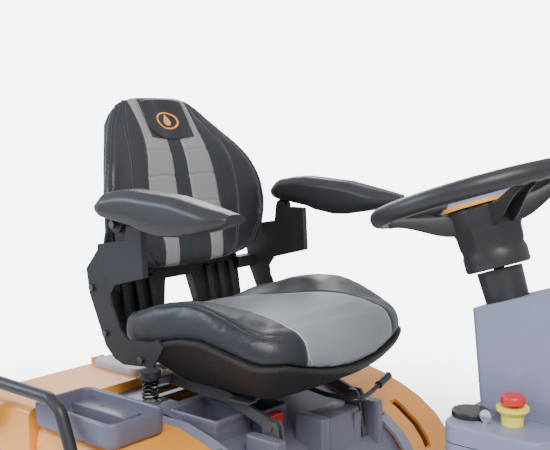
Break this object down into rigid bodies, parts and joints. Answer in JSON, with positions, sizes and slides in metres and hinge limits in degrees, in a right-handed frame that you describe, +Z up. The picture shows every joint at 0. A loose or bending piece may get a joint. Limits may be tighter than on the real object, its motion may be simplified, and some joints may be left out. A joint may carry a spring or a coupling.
{
  "type": "ride-on floor scrubber",
  "caption": "Battery ride-on floor scrubber with padded driver's seat, folding armrests, steering column, brush deck, tanks and rear squeegee.",
  "frame": {"origin": "on the floor, under the middle of the machine's length and width", "axes": "+X forward, along the length; +Y to the driver's left; +Z up"},
  "size_m": [1.479, 0.9972, 1.2832],
  "materials": {
    "frame_steel": "semi-gloss dark grey paint",
    "bracket_steel": "fine textured dark grey powder coat",
    "slide_steel": "zinc-plated",
    "bolt_steel": "blackened",
    "key_steel": "plated",
    "spring_steel": "black coated",
    "orange_plastic": "satin moulded",
    "deck_grey": "satin moulded",
    "trim_grey": "satin moulded",
    "column_grey": "satin moulded",
    "lid_grey": "satin moulded",
    "black_plastic": "grained",
    "arm_plastic": "soft-touch",
    "wheel_plastic": "satin",
    "tank_plastic": "natural",
    "battery_plastic": "moulded case",
    "red_plastic": "moulded",
    "yellow_plastic": "moulded",
    "seat_leather": "satin vinyl",
    "tyre_rubber": "solid rubber",
    "rubber": "moulded",
    "blade_rubber": "cut sheet",
    "lamp": "clear lens"
  },
  "bodies": {
    "chassis": {"chassis_frame": "frame_steel", "foot_platform": "black_plastic", "front_cowl": "orange_plastic", "headlights": "lamp", "front_bumper": "rubber", "side_panel_left": "orange_plastic", "side_panel_right": "orange_plastic", "deck_trim": "trim_grey", "seat_deck_cover": "deck_grey", "seat_hinge_brackets": "bracket_steel", "release_latch": "red_plastic", "storage_tray": "deck_grey", "grab_rail": "arm_plastic", "recovery_tank": "orange_plastic", "solution_tank": "tank_plastic", "battery_pack": "battery_plastic", "vacuum_motor": "black_plastic", "suction_hose": "rubber", "column_shroud": "column_grey", "column_tube": "black_plastic", "console_base": "column_grey", "console_top": "column_grey", "stop_collar": "yellow_plastic"},
    "seat_feet": {"spring_feet": "black_plastic", "seat_springs": "spring_steel"},
    "seat_frame": {"seat_bars": "slide_steel"},
    "seat": {"seat_pan": "black_plastic", "seat_cushion": "seat_leather", "back_cushion": "seat_leather", "seat_back_shell": "black_plastic", "armrest_brackets": "bracket_steel", "bracket_bolts": "bolt_steel"},
    "slide_lever": {"slide_lever": "arm_plastic"},
    "armrest_left": {"armrest_left": "arm_plastic"},
    "armrest_right": {"armrest_right": "arm_plastic"},
    "steering_wheel": {"steering_rim": "wheel_plastic", "steering_hub": "wheel_plastic", "steering_trim": "orange_plastic", "steering_pad": "column_grey"},
    "drive_fork": {"drive_fork": "frame_steel", "drive_motor": "frame_steel"},
    "drive_wheel": {"drive_wheel": "tyre_rubber"},
    "rear_wheel_left": {"rear_wheel_left": "tyre_rubber"},
    "rear_wheel_right": {"rear_wheel_right": "tyre_rubber"},
    "accelerator_pedal": {"accelerator_pedal": "rubber"},
    "brake_pedal": {"brake_pedal": "rubber"},
    "deck_lift_arms": {"deck_lift_arms": "frame_steel"},
    "brush_deck": {"brush_deck": "frame_steel", "brush_motors": "frame_steel", "deck_skirts": "rubber"},
    "brush_left": {"brush_left": "black_plastic"},
    "brush_right": {"brush_right": "black_plastic"},
    "squeegee": {"squeegee_body": "frame_steel", "squeegee_blades": "blade_rubber", "squeegee_arm": "frame_steel"},
    "recovery_lid": {"recovery_lid": "lid_grey"},
    "filler_cap": {"filler_cap": "black_plastic"},
    "speed_dial": {"speed_dial": "black_plastic"},
    "ignition_key": {"ignition_key": "key_steel"},
    "stop_button": {"stop_button": "red_plastic"}
  },
  "joints": [
    {"name": "seat_flip", "type": "hinge", "parent": "chassis", "child": "seat_feet", "pos_m": [0.158, 0, 0.648], "axis": [0, 1, 0], "range_deg": [0, 55]},
    {"name": "seat_suspension", "type": "hinge", "parent": "seat_feet", "child": "seat_frame", "pos_m": [0.158, 0, 0.648], "axis": [0, 1, 0], "range_deg": [-4, 0], "stiffness_Nm_per_rad": 2700, "springref_deg": 1.72, "deforming": ["seat_springs"]},
    {"name": "seat_slide", "type": "slide", "parent": "seat_frame", "child": "seat", "axis": [1, 0, 0], "range_m": [-0.035, 0.075]},
    {"name": "slide_lever_lift", "type": "hinge", "parent": "seat_frame", "child": "slide_lever", "pos_m": [0.082, 0.041, 0.676], "axis": [0, 1, 0], "range_deg": [-5, 0], "stiffness_Nm_per_rad": 2, "springref_deg": 20.05},
    {"name": "armrest_left_lift", "type": "hinge", "parent": "seat", "child": "armrest_left", "pos_m": [-0.145, 0.27, 1.036], "axis": [0, 1, 0], "range_deg": [-46, 0]},
    {"name": "armrest_right_lift", "type": "hinge", "parent": "seat", "child": "armrest_right", "pos_m": [-0.145, -0.27, 1.036], "axis": [0, 1, 0], "range_deg": [-46, 0]},
    {"name": "steering_turn", "type": "hinge", "parent": "chassis", "child": "steering_wheel", "pos_m": [0.515, 0, 1.115], "axis": [-0.3173, 0, 0.9483], "range_deg": [-450, 450]},
    {"name": "drive_steer", "type": "hinge", "parent": "chassis", "child": "drive_fork", "pos_m": [0.56, 0, 0.3], "axis": [0, 0, 1], "range_deg": [-60, 60]},
    {"name": "drive_roll", "type": "hinge", "parent": "drive_fork", "child": "drive_wheel", "pos_m": [0.56, 0, 0.125], "axis": [0, 1, 0], "continuous": true},
    {"name": "rear_roll_left", "type": "hinge", "parent": "chassis", "child": "rear_wheel_left", "pos_m": [-0.25, 0.385, 0.15], "axis": [0, 1, 0], "continuous": true},
    {"name": "rear_roll_right", "type": "hinge", "parent": "chassis", "child": "rear_wheel_right", "pos_m": [-0.25, -0.385, 0.15], "axis": [0, 1, 0], "continuous": true},
    {"name": "accelerator_press", "type": "hinge", "parent": "chassis", "child": "accelerator_pedal", "pos_m": [0.47, -0.2525, 0.396], "axis": [0, 1, 0], "range_deg": [0, 14], "stiffness_Nm_per_rad": 6, "springref_deg": -8.59},
    {"name": "brake_press", "type": "hinge", "parent": "chassis", "child": "brake_pedal", "pos_m": [0.47, 0.2525, 0.396], "axis": [0, 1, 0], "range_deg": [0, 14], "stiffness_Nm_per_rad": 9, "springref_deg": -8.59},
    {"name": "deck_lift", "type": "hinge", "parent": "chassis", "child": "deck_lift_arms", "pos_m": [-0.08, 0, 0.272], "axis": [0, 1, 0], "range_deg": [-9, 0]},
    {"name": "deck_level", "type": "hinge", "parent": "deck_lift_arms", "child": "brush_deck", "pos_m": [0.15, 0, 0.214], "axis": [0, 1, 0], "range_deg": [0, 9]},
    {"name": "brush_spin_left", "type": "hinge", "parent": "brush_deck", "child": "brush_left", "pos_m": [0.15, 0.215, 0.06], "axis": [0, 0, 1], "continuous": true},
    {"name": "brush_spin_right", "type": "hinge", "parent": "brush_deck", "child": "brush_right", "pos_m": [0.15, -0.215, 0.06], "axis": [0, 0, 1], "continuous": true},
    {"name": "squeegee_lift", "type": "hinge", "parent": "chassis", "child": "squeegee", "pos_m": [-0.41, 0, 0.2], "axis": [0, 1, 0], "range_deg": [0, 12]},
    {"name": "recovery_lid_open", "type": "hinge", "parent": "chassis", "child": "recovery_lid", "pos_m": [-0.418, 0, 0.678], "axis": [0, 1, 0], "range_deg": [-100, 0]},
    {"name": "filler_cap_turn", "type": "hinge", "parent": "chassis", "child": "filler_cap", "pos_m": [-0.06, 0.268, 0.65], "axis": [0, 0, 1], "range_deg": [0, 90]},
    {"name": "speed_dial_turn", "type": "hinge", "parent": "chassis", "child": "speed_dial", "pos_m": [0.56, -0.097, 0.75], "axis": [0, 0, 1], "range_deg": [-270, 0]},
    {"name": "ignition_key_turn", "type": "hinge", "parent": "chassis", "child": "ignition_key", "pos_m": [0.6, -0.121, 0.75], "axis": [0, 0, 1], "range_deg": [-90, 0]},
    {"name": "stop_press", "type": "slide", "parent": "chassis", "child": "stop_button", "axis": [0, 0, 1], "range_m": [-0.005, 0], "stiffness_N_per_m": 900, "springref_m": 0.003}
  ],
  "couplings": [
    {"joint": "drive_steer", "follows": "steering_turn", "ratio": 0.13333},
    {"joint": "deck_level", "follows": "deck_lift", "ratio": -1}
  ]
}
